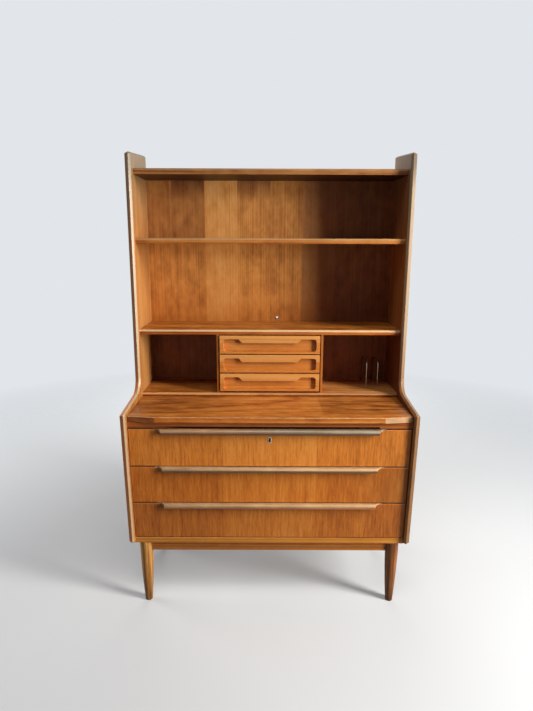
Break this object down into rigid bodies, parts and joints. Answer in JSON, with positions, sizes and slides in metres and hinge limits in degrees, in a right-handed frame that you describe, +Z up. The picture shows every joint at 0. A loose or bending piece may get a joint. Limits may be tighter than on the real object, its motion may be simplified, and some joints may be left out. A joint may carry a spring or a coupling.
{
  "type": "secretary desk",
  "caption": "Teak secretary desk: open hutch with shelves and small drawers, pull-out writing slide, wide lip-handled drawers with a lock, on turned tapered legs.",
  "frame": {"origin": "on the floor, below the middle of the desk's overall width and depth", "axes": "+Z up, +X to the right of someone facing the desk, the front faces -Y"},
  "size_m": [1, 0.4776, 1.624],
  "materials": {
    "teak_sides": "satin oil",
    "teak_shelves": "satin oil",
    "teak_carcass": "satin oil",
    "teak_back": "satin oil",
    "back_ply": "matt",
    "teak_legs": "satin oil",
    "teak_slide": "satin oil",
    "teak_fronts": "satin oil",
    "teak_handles": "satin oil",
    "teak_small_fronts": "satin oil",
    "drawer_wood": "waxed",
    "drawer_ply": "matt",
    "bright_wire": "polished",
    "lock_steel": "brushed",
    "eyelet_metal": "polished"
  },
  "bodies": {
    "carcass": {"side_panel_left": "teak_sides", "side_panel_right": "teak_sides", "top_board": "teak_shelves", "upper_shelf": "teak_shelves", "lower_shelf": "teak_shelves", "hutch_floor": "teak_shelves", "bottom_board": "teak_carcass", "back_panel_upper": "teak_back", "back_panel_lower": "back_ply", "divider_left": "teak_shelves", "divider_right": "teak_shelves", "front_rail": "teak_carcass", "slide_runners": "drawer_wood", "drawer_runners": "drawer_wood", "small_drawer_runners": "drawer_wood", "leg_front_left": "teak_legs", "leg_front_right": "teak_legs", "leg_back_left": "teak_legs", "leg_back_right": "teak_legs", "apron_front": "teak_legs", "apron_back": "teak_legs", "apron_left": "teak_legs", "apron_right": "teak_legs", "letter_hoop_left": "bright_wire", "letter_hoop_right": "bright_wire", "cord_eyelet": "eyelet_metal"},
    "writing_slide": {"slide_panel": "teak_slide", "slide_lipping": "teak_slide", "slide_stops": "drawer_wood"},
    "drawer_bottom": {"drawer_front_bottom": "teak_fronts", "drawer_handle_bottom": "teak_handles", "drawer_sides_bottom": "drawer_wood", "drawer_back_bottom": "drawer_wood", "drawer_base_bottom": "drawer_ply"},
    "drawer_middle": {"drawer_front_middle": "teak_fronts", "drawer_handle_middle": "teak_handles", "drawer_sides_middle": "drawer_wood", "drawer_back_middle": "drawer_wood", "drawer_base_middle": "drawer_ply"},
    "drawer_top": {"drawer_front_top": "teak_fronts", "drawer_handle_top": "teak_handles", "drawer_sides_top": "drawer_wood", "drawer_back_top": "drawer_wood", "drawer_base_top": "drawer_ply", "lock_case": "lock_steel", "keyhole_plate": "eyelet_metal"},
    "bolt": {"lock_bolt": "lock_steel"},
    "small_drawer_bottom": {"small_front_bottom": "teak_small_fronts", "small_sides_bottom": "drawer_wood", "small_back_bottom": "drawer_wood", "small_base_bottom": "drawer_ply"},
    "small_drawer_middle": {"small_front_middle": "teak_small_fronts", "small_sides_middle": "drawer_wood", "small_back_middle": "drawer_wood", "small_base_middle": "drawer_ply"},
    "small_drawer_top": {"small_front_top": "teak_small_fronts", "small_sides_top": "drawer_wood", "small_back_top": "drawer_wood", "small_base_top": "drawer_ply"}
  },
  "joints": [
    {"name": "slide_pull", "type": "slide", "parent": "carcass", "child": "writing_slide", "axis": [0, -1, 0], "range_m": [0, 0.18]},
    {"name": "drawer_bottom_pull", "type": "slide", "parent": "carcass", "child": "drawer_bottom", "axis": [0, -1, 0], "range_m": [0, 0.3]},
    {"name": "drawer_middle_pull", "type": "slide", "parent": "carcass", "child": "drawer_middle", "axis": [0, -1, 0], "range_m": [0, 0.3]},
    {"name": "drawer_top_pull", "type": "slide", "parent": "carcass", "child": "drawer_top", "axis": [0, -1, 0], "range_m": [0, 0.3]},
    {"name": "bolt_throw", "type": "slide", "parent": "drawer_top", "child": "bolt", "axis": [0, 0, 1], "range_m": [0, 0.009]},
    {"name": "small_drawer_bottom_pull", "type": "slide", "parent": "carcass", "child": "small_drawer_bottom", "axis": [0, -1, 0], "range_m": [0, 0.14]},
    {"name": "small_drawer_middle_pull", "type": "slide", "parent": "carcass", "child": "small_drawer_middle", "axis": [0, -1, 0], "range_m": [0, 0.14]},
    {"name": "small_drawer_top_pull", "type": "slide", "parent": "carcass", "child": "small_drawer_top", "axis": [0, -1, 0], "range_m": [0, 0.14]}
  ]
}
